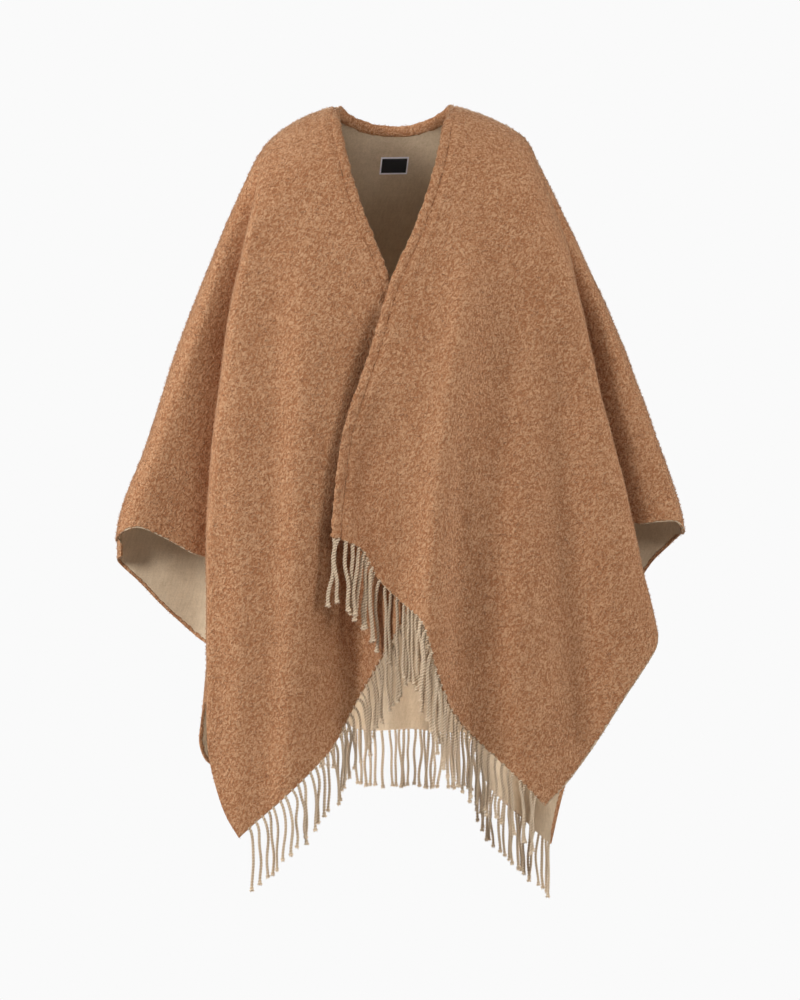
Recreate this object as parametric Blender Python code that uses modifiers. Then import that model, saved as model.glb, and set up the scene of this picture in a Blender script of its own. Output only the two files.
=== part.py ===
"""Wool cape with fringed hems, worn: two fronts that cross, a back, a turned neck band,
three fringes and a label. The cloth hangs hollow from a shoulder line that runs from the
neck along each arm. +Z is up, -Y is the wearer's front and +X the wearer's left; the origin
is midway between the two neck points, where the shoulders carry the cape.
"""
import bpy
import math
import numpy as np
from mathutils import Vector
from mathutils.bvhtree import BVHTree

MM = 0.001

# Driving sizes, in metres.
CLOTH = 3.0 * MM            # brushed double-faced wool
SEAM = 0.3 * MM             # gap between neighbouring pieces
NECK_POINT_GAP = 0.8 * MM   # more room where the back's rim turns at the neck points
CROWN = 7.0 * MM            # level strip on each side of the shoulder line
SHOULDER_DROP = 120 * MM    # height over which the cloth turns from the shoulder to upright
ARM_DROP = 130 * MM         # the same over the arm
ARM_FORWARD = 12 * MM       # how far the wrist lies in front of the shoulder
SLEEVE_DEPTH = {"front": 62 * MM, "back": 58 * MM}      # cloth before and behind the arm
SIDE_FALL = {"front": 0.42, "back": 0.45}   # share of the body's depth lost at REACH
REACH = 350 * MM            # distance from the centre at which those shares apply
OVERLAP = 10 * MM           # the left front lies this far in front of the right one
OVERLAP_FADE = 150 * MM     # and rejoins its own depth this far out from the centre
FOLD_RADIUS = 23 * MM       # rolled edge between the body of the cape and its sleeve
VALLEY_INSET = 36 * MM      # how far the cloth runs in behind that roll
VALLEY_DEPTH = {"front": 34 * MM, "back": 26 * MM}      # depth of the valley behind it
BAND_WIDTH = 15 * MM        # turned edge of fronts and neck
BAND_THICK = 6.4 * MM
FRINGE_THICK = 4.0 * MM
FRINGE_GAP = {"right": 1.2 * MM, "left": 1.4 * MM, "back": 3.2 * MM}     # clear of the hem,
                            # whose rim turns with its folds, most at the back
FRINGE_LEAN = 10 * MM       # length over which the fringe still leans as its panel does
LABEL = (41 * MM, 24 * MM, 0.8 * MM)
LABEL_HEIGHT = -78 * MM
BACK_NECK_DROP = -37 * MM   # height of the cloth's edge at the centre back

SIDES = {"right": -1, "left": 1}
FACES = {"front": -1, "back": 1}

# The tables are in millimetres. "out" is the distance from the centre line towards the
# sleeve of that side, negative where a front crosses to the other side.

# Shoulder line, from the neck point over the shoulder to the wrist.
# height, right out, left out
SHOULDER = [
    (-2, 88, 89),
    (-15, 127, 132),
    (-45, 173, 186),
    (-80, 202, 209),
    (-130, 228, 233),
    (-200, 255, 265),
    (-300, 295, 312),
    (-420, 335, 357),
    (-540, 376, 401),
    (-604, 401, 419),
]
FOLD_START = -62            # height on the shoulder line where the sleeve fold begins

# Front edge at the seam of the neck band, down to the corner given by the hem.
# height, right out, left out
FRONT_EDGE = [
    (-2, 88, 89),
    (-30, 90, 84),
    (-80, 80, 76),
    (-130, 68, 63),
    (-200, 43, 38),
    (-260, 19, 11),
    (-360, -9, -19),
    (-480, -38, -57),
    (-580, -59, -70),
]

# Rolled fold between body and sleeve, down to the point where the side edge meets it.
# height, right out, left out
SLEEVE_FOLD = {
    "front": [
        (-130, 197, 223),
        (-200, 211, 246),
        (-300, 233, 269),
        (-420, 249, 295),
        (-540, 262, 327),
        (-640, 267, 349),
    ],
    "back": [
        (-130, 192, 214),
        (-200, 205, 234),
        (-300, 224, 256),
        (-420, 240, 280),
        (-540, 252, 298),
        (-640, 260, 306),
    ],
}

# Half depth of the hollow on the centre line. height, front, back
DEPTH = [
    (0, 60, 60),
    (-100, 95, 92),
    (-200, 120, 110),
    (-300, 138, 117),
    (-420, 153, 121),
    (-560, 163, 123),
    (-720, 169, 124),
    (-1100, 175, 127),
]

# Hem of each front from its centre-front corner, and of each half of the back from the
# centre back, to the outer corner. out, height
HEM = {
    "front_right": [(-66, -655), (-22, -725), (16, -789), (50, -852), (85, -918),
                    (112, -948), (145, -980), (193, -1023), (217, -1045)],
    "front_left": [(-73, -627), (-44, -642), (-24, -680), (10, -714), (38, -740),
                   (60, -810), (86, -872), (124, -915), (165, -953), (213, -1001)],
    "back_right": [(0, -913), (38, -914), (62, -911), (80, -893), (100, -884), (130, -890),
                   (165, -914), (196, -942), (220, -964)],
    "back_left": [(0, -913), (55, -915), (98, -926), (127, -968), (157, -1013),
                  (195, -1050), (233, -1080)],
}

# Side edge from the outer corner up to the sleeve fold. out, height
SIDE_EDGE = {
    "front_right": [(217, -1045), (236, -1014), (250, -978), (262, -925), (266, -845)],
    "front_left": [(213, -1001), (243, -973), (277, -931), (326, -857), (362, -800),
                   (374, -767)],
    "back_right": [(220, -964), (250, -968), (274, -962), (285, -935), (284, -905),
                   (278, -870)],
    "back_left": [(233, -1080), (241, -1040), (250, -1000), (270, -924), (294, -862),
                  (304, -815)],
}

# Each cuff's half, from the valley beside the sleeve fold to the wrist. out, height
CUFF = {
    "front_right": [(262, -676), (289, -648), (311, -637), (330, -625), (356, -612),
                    (384, -611), (400, -613)],
    "front_left": [(336, -612), (362, -605), (390, -602), (410, -602), (419, -606)],
    "back_right": [(248, -812), (285, -773), (322, -735), (352, -698), (385, -664),
                   (405, -652)],
    "back_left": [(272, -790), (330, -733), (366, -676), (396, -640), (421, -612)],
}

# Length of fringe below each hem, at even steps from the first hem point to the last.
FRINGE_REACH = {
    "right": [84, 86, 96, 84, 80],
    "left": [97, 96, 92, 90, 84],
    "back": [78, 84, 90, 84, 78],
}

# Largest folds: soft ridges, or troughs where the rise is negative. On the back, out is
# negative on the right half.
# piece, top out, top height, bottom out, bottom height, half width, rise
FOLDS = [
    ("front_left", 120, -130, 54, -640, 32, 19),
    ("front_left", 228, -240, 268, -820, 46, -20),
    ("front_left", 62, -520, 82, -1000, 30, 11),
    ("front_left", -34, -400, -30, -700, 26, -10),
    ("front_left", 124, -640, 150, -960, 26, -6),
    ("front_right", 116, -140, 148, -900, 32, 10),
    ("front_right", 172, -150, 180, -760, 24, -7),
    ("front_right", -4, -250, 60, -640, 40, -24),
    ("front_right", 60, -560, 58, -860, 24, -14),
    ("front_right", 92, -640, 100, -980, 30, -6),
    ("front_right", 202, -560, 190, -1020, 30, 5),
    ("back", -228, -260, -250, -900, 24, 27),
    ("back", -186, -300, -210, -960, 25, -27),
    ("back", -140, -180, -168, -1000, 32, 33),
    ("back", -100, -330, -120, -960, 26, -29),
    ("back", -52, -260, -66, -960, 32, 24),
    ("back", -12, -360, -18, -940, 28, -16),
    ("back", 34, -220, 30, -940, 30, 24),
    ("back", 66, -340, 74, -960, 23, -30),
    ("back", 102, -280, 112, -1000, 26, 35),
    ("back", 136, -380, 156, -1040, 25, -29),
    ("back", 172, -200, 202, -1060, 30, 33),
    ("back", 214, -300, 244, -980, 25, -27),
]

FOLD_GROWTH = 0.45          # share of a fold's length by which it has its full rise
ROLL_GROWTH = 0.3           # share of the way down by which the sleeve fold has its full size
ROLL_SHARE = 0.12           # share of the body's width taken up by the roll
TURN_UNDER = 0.85           # how far the roll turns under, in its radius
VALLEY_START = 0.02         # share of the shoulder line between the fold and the valley
NECK_SHAPE = 1.4            # above 1, the back neck is pointed towards the neck points

# Grid. Columns run out from the front edge or the centre back, rows run down.
ROWS = 14
ROW_SHARES = [(row / ROWS) ** 1.5 for row in range(ROWS + 1)]   # closer over the shoulder
FLAT_COLUMNS = 11
ROLL_COLUMNS = 4
BEHIND_STEPS = 3            # columns in each span between two guides of the sleeve
NECK_COLUMNS = {"front": 0, "back": 4}      # of the flat ones, those below half the back neck
CORNER_COLUMN = {"front_right": 9, "front_left": 8, "back_right": 8, "back_left": 8}
ROLL_TURNS = ([0.0] * (FLAT_COLUMNS + 1)
              + [math.pi / 2 * step / ROLL_COLUMNS for step in range(1, ROLL_COLUMNS + 1)])
BODY_SHARES = [(1 - ROLL_SHARE) * min(column / FLAT_COLUMNS, 1) + ROLL_SHARE * math.sin(turn)
               for column, turn in enumerate(ROLL_TURNS)]
SLEEVE_SHARES = [0.25, 0.5, 0.75, 1.0]      # guides over the sleeve, from fold to wrist
BAND_SIDES = 8
LABEL_GRID = (5, 4)

CAMEL = (0.48, 0.27, 0.14, 1.0)
BEIGE = (0.58, 0.47, 0.33, 1.0)
BLACK = (0.012, 0.012, 0.013, 1.0)


# ---------------------------------------------------------------- curves

def smooth(rows, steps=10):
    """A dense curve through the rows, each a point, with no overshoot between them."""
    points = np.array(rows, float)
    ends = np.vstack([2 * points[0] - points[1], points, 2 * points[-1] - points[-2]])
    knots = np.concatenate([[0], np.cumsum(np.linalg.norm(np.diff(ends, axis=0), axis=1) ** 0.5
                                           + 1e-9)])
    curve = []
    for i in range(1, len(ends) - 2):
        before, start, stop, after = ends[i - 1:i + 3]
        k0, k1, k2, k3 = knots[i - 1:i + 3]
        for t in np.linspace(k1, k2, steps, endpoint=False):
            a = ((k1 - t) * before + (t - k0) * start) / (k1 - k0)
            b = ((k2 - t) * start + (t - k1) * stop) / (k2 - k1)
            c = ((k3 - t) * stop + (t - k2) * after) / (k3 - k2)
            d = ((k2 - t) * a + (t - k0) * b) / (k2 - k0)
            e = ((k3 - t) * b + (t - k1) * c) / (k3 - k1)
            curve.append(((k2 - t) * d + (t - k1) * e) / (k2 - k1))
    curve.append(points[-1])
    return np.array(curve)


def along(curve, share):
    """The point at that share of a curve's length."""
    length = np.concatenate([[0], np.cumsum(np.linalg.norm(np.diff(curve, axis=0), axis=1))])
    return np.array([np.interp(share * length[-1], length, axis) for axis in curve.T])


def share_at_height(curve, height):
    """How far along a falling curve that height is reached."""
    length = np.concatenate([[0], np.cumsum(np.linalg.norm(np.diff(curve, axis=0), axis=1))])
    return float(np.interp(-height, -curve[:, 1], length) / length[-1])


def from_table(table, side):
    """Rows of (height, right, left) as points (out, height) of one side, in metres."""
    column = 1 if side == "right" else 2
    return [(row[column] * MM, row[0] * MM) for row in table]


def metres(rows):
    return [tuple(value * MM for value in row) for row in rows]


SHOULDER_LINE = {side: smooth(from_table(SHOULDER, side)) for side in SIDES}
DEPTH_CURVE = smooth(metres(DEPTH))


# ---------------------------------------------------------------- depth of the cloth

def ease(value):
    """0 to 1 with level ends."""
    value = min(max(value, 0.0), 1.0)
    return value * value * (3 - 2 * value)


def round_over(drop, reach):
    """Quarter round: 0 on the shoulder line, 1 where the cloth has turned upright."""
    left = 1 - min(max(drop / reach, 0.0), 1.0)
    return math.sqrt(1 - left * left)


def line_height(side, out):
    line = SHOULDER_LINE[side]
    return float(np.interp(out, line[:, 0], line[:, 1]))


def line_depth(out):
    """Y of the shoulder line: the arms reach a little forward."""
    return -ARM_FORWARD * ease((out - 0.15) / 0.25)


def half_depth(face, height):
    column = 1 if face == "front" else 2
    return float(np.interp(-height, -DEPTH_CURVE[:, 0], DEPTH_CURVE[:, column]))


def folds_at(piece, out, height):
    """Sum of the large folds at a point, positive away from the wearer."""
    rise = 0.0
    for name, top_out, top, bottom_out, bottom, width, peak in FOLDS:
        if name == piece:
            share = (top - height / MM) / (top - bottom)
            middle = top_out + (bottom_out - top_out) * min(max(share, 0.0), 1.1)
            spread = math.exp(-((out / MM - middle) / width) ** 2)
            rise += peak * MM * spread * ease(share / FOLD_GROWTH)
    return rise


def body_y(face, side, out, height):
    """Y of the outer face of a front or of the back."""
    depth = half_depth(face, height) * (1 - SIDE_FALL[face] * (out / REACH) ** 2)
    if face == "front":
        depth += folds_at("front_" + side, out, height)
        if side == "left":
            depth += OVERLAP * ease(1 - out / OVERLAP_FADE)
    else:
        depth += folds_at("back", out * SIDES[side], height)
    start = line_depth(out) + FACES[face] * CROWN
    over = round_over(line_height(side, out) - height, SHOULDER_DROP)
    return start + (FACES[face] * depth - start) * over


def sleeve_y(face, out, height, top):
    """Y of the outer face of the cloth beside the arm; top is the line's height above."""
    start = line_depth(out) + FACES[face] * CROWN
    over = round_over(top - height, ARM_DROP)
    return start + (FACES[face] * SLEEVE_DEPTH[face] - start) * over


# ---------------------------------------------------------------- panels as grids of points

def back_neck(side):
    """Half the back neck, from the centre back to the neck point."""
    neck_out, neck_height = SHOULDER_LINE[side][0]
    rows = []
    for turn in np.linspace(0, math.pi / 2, 13):
        fall = (BACK_NECK_DROP - neck_height) * math.cos(turn) ** NECK_SHAPE
        rows.append((neck_out * math.sin(turn), neck_height + fall))
    return np.array(rows)


def outline(face, side):
    """The curves (out, height) that bound one half panel."""
    piece = face + "_" + side
    line = SHOULDER_LINE[side]
    hem = smooth(metres(HEM[piece]))
    side_edge = smooth(metres(SIDE_EDGE[piece]))
    fold_share = share_at_height(line, FOLD_START * MM)
    fold_rows = [along(line, fold_share)] + from_table(SLEEVE_FOLD[face], side)
    if face == "front":
        neck = line[:1]
        edge = smooth(from_table(FRONT_EDGE, side) + [tuple(hem[0])])
    else:
        neck = back_neck(side)
        edge = np.array([neck[0], hem[0]])
    return {
        "line": line, "neck": neck, "edge": edge, "hem": hem, "side_edge": side_edge,
        "cuff": smooth(metres(CUFF[piece])),
        "fold": smooth([tuple(row) for row in fold_rows] + [tuple(side_edge[-1])]),
        "fold_share": fold_share,
        "corner_share": BODY_SHARES[CORNER_COLUMN[piece]],
        "neck_share": BODY_SHARES[NECK_COLUMNS[face]],
    }


def top_at(curves, share):
    """A point of the neck edge or the shoulder line, above a share of the body's width."""
    neck_share = curves["neck_share"]
    if share < neck_share:
        return along(curves["neck"], share / neck_share)
    return along(curves["line"], curves["fold_share"] * (share - neck_share) / (1 - neck_share))


def bottom_at(curves, share):
    """A point of the hem or, past the outer corner, of the side edge."""
    corner_share = curves["corner_share"]
    if share <= corner_share:
        return along(curves["hem"], share / corner_share)
    return along(curves["side_edge"], (share - corner_share) / (1 - corner_share))


def on_body(curves, share, down):
    """A point of the patch between the edge, the shoulder line, the fold and the hem."""
    edge, fold = curves["edge"], curves["fold"]
    crosswise = (1 - share) * along(edge, down) + share * along(fold, down)
    lengthwise = (1 - down) * top_at(curves, share) + down * bottom_at(curves, share)
    corners = ((1 - down) * ((1 - share) * edge[0] + share * fold[0])
               + down * ((1 - share) * edge[-1] + share * fold[-1]))
    return crosswise + lengthwise - corners


def body_columns(face, side, curves):
    """Columns (out, y, height) from the edge to the outside of the sleeve fold's roll."""
    columns = []
    for share, turn in zip(BODY_SHARES, ROLL_TURNS):
        column = []
        for down in ROW_SHARES:
            out, height = on_body(curves, share, down)
            roll = FOLD_RADIUS * ease(down / ROLL_GROWTH) * (1 - math.cos(turn))
            column.append((out, body_y(face, side, out, height) - FACES[face] * roll, height))
        columns.append(column)
    return columns


def sleeve_guides(face, side, curves, roll_column):
    """Guide columns behind the roll: under it, down the valley and over the arm."""
    line, cuff, fold = curves["line"], curves["cuff"], curves["fold"]
    start = curves["fold_share"] + VALLEY_START
    under, valley = [], []
    over_arm = [[] for _ in SLEEVE_SHARES]
    for down, (out, y, height) in zip(ROW_SHARES, roll_column):
        size = ease(down / ROLL_GROWTH)
        under.append((out - TURN_UNDER * FOLD_RADIUS * size,
                      y - FACES[face] * FOLD_RADIUS * size, height))

        out, height = (1 - down) * along(line, start) + down * cuff[0]
        y = sleeve_y(face, out, height, line_height(side, out))
        inset = np.interp(-height, -fold[:, 1], fold[:, 0]) - VALLEY_INSET
        valley.append((out + size * (inset - out),
                       y + size * (FACES[face] * VALLEY_DEPTH[face] - y), height))

        for guide, share in zip(over_arm, SLEEVE_SHARES):
            top = along(line, start + (1 - start) * share)
            out, height = (1 - down) * top + down * along(cuff, share)
            guide.append((out, sleeve_y(face, out, height, top[1]), height))
    return [under, valley] + over_arm


def half_panel(face, side):
    """Columns of points from the front edge or the centre back to the wrist. Each column
    runs from the shoulder line or back neck down to the hem, the side edge or the cuff."""
    curves = outline(face, side)
    columns = body_columns(face, side, curves)
    guides = [columns[FLAT_COLUMNS], columns[-1]]
    guides += sleeve_guides(face, side, curves, columns[-1])
    rows = [smooth(row, BEHIND_STEPS)[BEHIND_STEPS + 1:] for row in zip(*guides)]
    columns += [[tuple(point) for point in column] for column in zip(*rows)]

    for i, column in enumerate(columns):
        out, y, height = column[0]
        if i < NECK_COLUMNS[face]:
            # The neck edge meets no other panel, so its first strip is only divided.
            column.insert(1, tuple((np.array(column[0]) + np.array(column[1])) / 2))
        else:
            at_neck_point = face == "back" and i == NECK_COLUMNS[face]
            gap = SEAM / 2 + (NECK_POINT_GAP if at_neck_point else 0)
            column.insert(0, (out, line_depth(out) + FACES[face] * gap, height))
    return [[(SIDES[side] * out, y, height) for out, y, height in column]
            for column in columns]


# ---------------------------------------------------------------- objects

def material(name, colour, roughness):
    made = bpy.data.materials.new(name)
    made.use_nodes = True
    shader = made.node_tree.nodes["Principled BSDF"]
    shader.inputs["Base Color"].default_value = colour
    shader.inputs["Roughness"].default_value = roughness
    return made


def mesh_object(name, vertices, faces, colour, roughness, collection):
    mesh = bpy.data.meshes.new(name)
    mesh.from_pydata([tuple(v) for v in vertices], [], faces)
    mesh.validate()
    mesh.materials.append(material(name, colour, roughness))
    made = bpy.data.objects.new(name, mesh)
    collection.objects.link(made)
    return made


def sheet_object(name, columns, facing, thickness, offset, colour, collection):
    """A grid of points as one open surface, given its wall by Solidify. facing is the
    direction in Y that the outer face mostly looks in."""
    count = len(columns[0])
    vertices = [point for column in columns for point in column]
    faces = []
    for i in range(len(columns) - 1):
        for j in range(count - 1):
            a = i * count + j
            faces.append((a, a + 1, a + count + 1, a + count))
    made = mesh_object(name, vertices, faces, colour, 0.95, collection)
    mesh = made.data
    if sum(face.normal.y * face.area for face in mesh.polygons) * facing < 0:
        mesh.flip_normals()
    wall = made.modifiers.new("cloth", "SOLIDIFY")
    wall.thickness = thickness
    wall.offset = offset
    return made


def unit(vectors):
    return vectors / np.linalg.norm(vectors, axis=1)[:, None]


def across(vectors, tangents):
    """What is left of the vectors square to the tangents, at unit length."""
    return unit(vectors - (vectors * tangents).sum(axis=1)[:, None] * tangents)


def rim_frame(rim, softenings):
    """Points of a rim, with the directions along it, out of the cloth and off its face.
    rim holds pairs: a point of the rim and its neighbour inside the panel."""
    points = np.array([edge for edge, inner in rim])
    inward = np.array([inner for edge, inner in rim]) - points
    tangents = unit(np.gradient(points, axis=0))
    outward = across(-inward, tangents)
    for _ in range(softenings):
        outward[1:-1] = (outward[:-2] + 2 * outward[1:-1] + outward[2:]) / 4
    outward = across(outward, tangents)
    return points, outward, np.cross(outward, tangents)


def band_object(right, back, left, collection):
    """The turned edge: an oval that follows the rim of right front, neck and left front,
    lying in the surface of the cloth and just clear of it."""
    rim = list(zip(*right[:2]))[::-1]
    rim += [(column[0], column[1]) for column in back]
    rim += list(zip(*left[:2]))
    points, outward, normals = rim_frame(rim, 3)
    sides = BAND_SIDES
    vertices = []
    for point, out, normal in zip(points, outward, normals):
        middle = point + out * (SEAM + BAND_WIDTH / 2) - normal * CLOTH / 2
        for k in range(sides):
            angle = 2 * math.pi * k / sides
            vertices.append(middle + out * BAND_WIDTH / 2 * math.cos(angle)
                            + normal * BAND_THICK / 2 * math.sin(angle))
    faces = [tuple(range(sides))]
    for i in range(len(points) - 1):
        for k in range(sides):
            a = i * sides + k
            b = i * sides + (k + 1) % sides
            faces.append((a, a + sides, b + sides, b))
    faces.append(tuple(range((len(points) - 1) * sides, len(points) * sides))[::-1])
    return mesh_object("neck_band", vertices, faces, CAMEL, 0.95, collection)


def fringe_object(place, panel, facing, collection):
    """The fringe's reach as a thin curtain that hangs just below a panel's hem."""
    rim = [(column[-1], column[-2]) for column in panel]
    points, outward, normals = rim_frame(rim, 0)
    normals *= np.where(normals[:, 1] * facing < 0, -1, 1)[:, None]
    tops = points + outward * FRINGE_GAP[place] - normals * CLOTH / 2
    leans = across(np.tile((0.0, 0.0, -1.0), (len(tops), 1)), normals) * FRINGE_LEAN
    reaches = FRINGE_REACH[place]
    steps = np.linspace(0, 1, len(reaches))
    columns = []
    for share, top, lean in zip(np.linspace(0, 1, len(tops)), tops, leans):
        reach = float(np.interp(share, steps, reaches)) * MM
        x, y, z = top + lean
        middle, low = top[2] - reach / 2, top[2] - reach
        columns.append([tuple(top), (x, y, z), (x, y, middle), (x, y, low)])
    return sheet_object("fringe_" + place, columns, facing, FRINGE_THICK, 0.0, BEIGE, collection)


def label_object(back, collection):
    """A small plate laid against the inside of the back, made from that face's points."""
    depsgraph = bpy.context.evaluated_depsgraph_get()
    inside = BVHTree.FromObject(back, depsgraph)
    width, height, thickness = LABEL
    columns = []
    for x in np.linspace(-width / 2, width / 2, LABEL_GRID[0]):
        column = []
        for drop in np.linspace(-height / 2, height / 2, LABEL_GRID[1]):
            z = LABEL_HEIGHT - drop
            hit, normal, _, _ = inside.ray_cast(Vector((x, 0, z)), Vector((0, 1, 0)))
            column.append(tuple(hit + normal * (SEAM + thickness)))
        columns.append(column)
    return sheet_object("label", columns, -1, thickness, -1.0, BLACK, collection)


def build():
    for old in list(bpy.data.objects):
        bpy.data.objects.remove(old)
    cape = bpy.data.collections.new("wool_cape")
    bpy.context.scene.collection.children.link(cape)

    right = half_panel("front", "right")
    left = half_panel("front", "left")
    back = half_panel("back", "right")[:0:-1] + half_panel("back", "left")

    sheet_object("front_right", right, -1, CLOTH, -1.0, CAMEL, cape)
    sheet_object("front_left", left, -1, CLOTH, -1.0, CAMEL, cape)
    back_panel = sheet_object("back", back, 1, CLOTH, -1.0, CAMEL, cape)
    bpy.context.view_layer.update()

    middle = (len(back) - 1) // 2
    half_neck = NECK_COLUMNS["back"] - 1
    neck = back[middle - half_neck:middle + half_neck + 1]
    band_object(right, neck, left, cape)

    for side, columns in (("right", right), ("left", left)):
        corner = CORNER_COLUMN["front_" + side]
        fringe_object(side, columns[:corner + 1], -1, cape)
    body = back[middle - CORNER_COLUMN["back_right"]:middle + CORNER_COLUMN["back_left"] + 1]
    fringe_object("back", body, 1, cape)
    label_object(back_panel, cape)


build()
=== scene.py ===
import math

import bmesh
import bpy
import numpy as np
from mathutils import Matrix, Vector
from mathutils.bvhtree import BVHTree


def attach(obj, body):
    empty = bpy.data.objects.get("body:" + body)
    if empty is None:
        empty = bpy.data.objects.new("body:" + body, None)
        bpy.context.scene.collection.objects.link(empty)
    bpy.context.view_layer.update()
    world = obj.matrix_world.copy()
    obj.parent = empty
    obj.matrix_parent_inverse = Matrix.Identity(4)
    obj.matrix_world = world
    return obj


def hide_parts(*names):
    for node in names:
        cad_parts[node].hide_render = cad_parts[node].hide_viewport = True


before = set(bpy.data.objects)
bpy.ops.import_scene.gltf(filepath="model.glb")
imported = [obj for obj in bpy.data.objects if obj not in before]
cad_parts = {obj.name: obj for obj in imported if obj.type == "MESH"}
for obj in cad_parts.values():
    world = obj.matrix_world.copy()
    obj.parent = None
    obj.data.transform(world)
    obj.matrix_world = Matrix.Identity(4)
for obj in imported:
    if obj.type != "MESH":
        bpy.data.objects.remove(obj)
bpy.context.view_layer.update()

bpy.ops.object.select_all(action="DESELECT")

# A wool cape worn open with its fronts crossed: two fronts, a back, a turned neck band,
# twisted fringes and a label. Lengths in the tables are millimetres; "out" is the distance
# from the centre line towards that side's sleeve, and heights fall from the shoulder line.


# -------- right front
# The wearer's right front, the lower of the two, is one thickness of double cloth: brushed
# curly camel wool outside and smooth beige inside. It hangs from the shoulder line, rolls
# over into a sleeve fold at the side, and its square-cut hem hangs in a slant.

MM = 0.001
CLOTH = 3.0 * MM            # thickness
CROWN = 7.0 * MM            # from the shoulder line to the level strip's edge
SHOULDER_DROP = 120 * MM    # below it the cloth has turned upright
ARM_DROP = 130 * MM         # and over the arms below this
ARM_FORWARD = 12 * MM
SLEEVE_DEPTH = {"front": 62 * MM, "back": 58 * MM}
SIDE_FALL = {"front": 0.42, "back": 0.45}   # share of its depth the hollow loses at REACH
REACH = 350 * MM
FOLD_START = 62             # below the neck points, where the sleeve fold starts
FOLD_RADIUS = 23 * MM
VALLEY_INSET = 36 * MM      # the valley behind the fold lies that far inside of it
VALLEY_DEPTH = {"front": 34 * MM, "back": 26 * MM}
VALLEY_START = 0.02
ROLL_GROWTH = 0.3           # the fold is whole at that share of the way down
ROLL_SHARE = 0.12           # how much of a panel's width its roll takes
TURN_UNDER = 0.85
LEAST_FOLD = 0.03           # the fold's size where it starts
LEAST_WALL = 0.1            # share of the thickness that the tightest fold leaves
FACES = {"front": -1, "back": 1}
CREASE_GROWTH = {"front": 0.4, "back": 0.45}    # a crease is whole that far along

# Half depth of the hollow on the centre line. height, front, back
DEPTH = [
    (0, 60, 60), (-100, 95, 92), (-200, 120, 110), (-300, 138, 117), (-420, 153, 121),
    (-560, 163, 123), (-720, 169, 124), (-1100, 175, 127),
]

# Grid of a half panel: flat columns as in the solid's own division, 6 for each of its 11.
FLAT = 66
ROLL = 12
BEHIND = 8
ROWS = 120
EVEN_FROM = 0.25            # rows stand closer together above this share
SLEEVE_GUIDES = [0.25, 0.5, 0.75, 0.92, 1.0]
flat_steps = np.concatenate([[0, 0.25, 0.5, 0.75, 1, 1.5, 2, 2.5],
                             np.arange(3, FLAT + 1)]) / FLAT
roll_turns = np.concatenate([np.zeros(len(flat_steps)),
                             math.pi / 2 * np.arange(1, ROLL + 1) / ROLL])
body_shares = np.concatenate([flat_steps, np.ones(ROLL)]) * (1 - ROLL_SHARE)
body_shares += ROLL_SHARE * np.sin(roll_turns)
row_steps = np.linspace(0, 1, ROWS + 1)
row_shares = np.where(row_steps < EVEN_FROM, row_steps ** 2 / (2 * EVEN_FROM),
                      row_steps - EVEN_FROM / 2) / (1 - EVEN_FROM / 2)


def smooth(rows, steps=10):
    """A dense curve through the rows, each a point, with no overshoot between them."""
    points = np.array(rows, float)
    ends = np.vstack([2 * points[0] - points[1], points, 2 * points[-1] - points[-2]])
    gaps = np.linalg.norm(np.diff(ends, axis=0), axis=1) ** 0.5 + 1e-9
    knots = np.concatenate([[0], np.cumsum(gaps)])
    curve = []
    for i in range(1, len(ends) - 2):
        p0, p1, p2, p3 = ends[i - 1:i + 3]
        k0, k1, k2, k3 = knots[i - 1:i + 3]
        t = np.linspace(k1, k2, steps, endpoint=False)[:, None]
        a = ((k1 - t) * p0 + (t - k0) * p1) / (k1 - k0)
        b = ((k2 - t) * p1 + (t - k1) * p2) / (k2 - k1)
        c = ((k3 - t) * p2 + (t - k2) * p3) / (k3 - k2)
        d = ((k2 - t) * a + (t - k0) * b) / (k2 - k0)
        e = ((k3 - t) * b + (t - k1) * c) / (k3 - k1)
        curve.append(((k2 - t) * d + (t - k1) * e) / (k2 - k1))
    return np.vstack(curve + [points[-1:]])


def drawn(rows):
    """A smooth curve (out, height), in metres, through table rows in millimetres."""
    return smooth(np.array(rows) * MM)


def lengths(points):
    """The length along a line up to each of its points."""
    return np.concatenate([[0], np.cumsum(np.linalg.norm(np.diff(points, axis=0), axis=1))])


def between(values, known, wanted):
    """Rows of values, which belong to the known places, at the wanted ones."""
    return np.stack([np.interp(wanted, known, axis) for axis in values.T], axis=-1)


def along(curve, share):
    """The points at those shares of a curve's length."""
    length = lengths(curve)
    return between(curve, length, share * length[-1])


def resampled(points, step, *others):
    """Points at even steps along a line, and other values carried with them."""
    length = lengths(points)
    even = np.linspace(0, length[-1], int(length[-1] / step) + 1)
    return [between(values, length, even) for values in (points, *others)]


def ease(value):
    """0 to 1 with level ends."""
    value = np.clip(value, 0, 1)
    return value * value * (3 - 2 * value)


def round_over(drop, reach):
    """Quarter round: 0 on the shoulder line, 1 where the cloth has turned upright."""
    return np.sqrt(1 - (1 - np.clip(drop / reach, 0, 1)) ** 2)


def line_depth(out):
    """Y of the shoulder line: the arms reach a little forward."""
    return -ARM_FORWARD * ease((out - 0.15) / 0.25)


depth_curve = smooth(np.array(DEPTH) * MM)


def creases_at(creases, out, height, growth):
    """Sum of the creases at points, positive away from the wearer. A crease is a row of
    top out, top height, bottom out, bottom height, half width, rise."""
    rise = np.zeros_like(out)
    for top_out, top, bottom_out, bottom, width, peak in creases:
        share = (top - height / MM) / (top - bottom)
        middle = top_out + (bottom_out - top_out) * np.clip(share, 0, 1.1)
        rise += peak * MM * np.exp(-((out / MM - middle) / width) ** 2) * ease(share / growth)
    return rise


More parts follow.
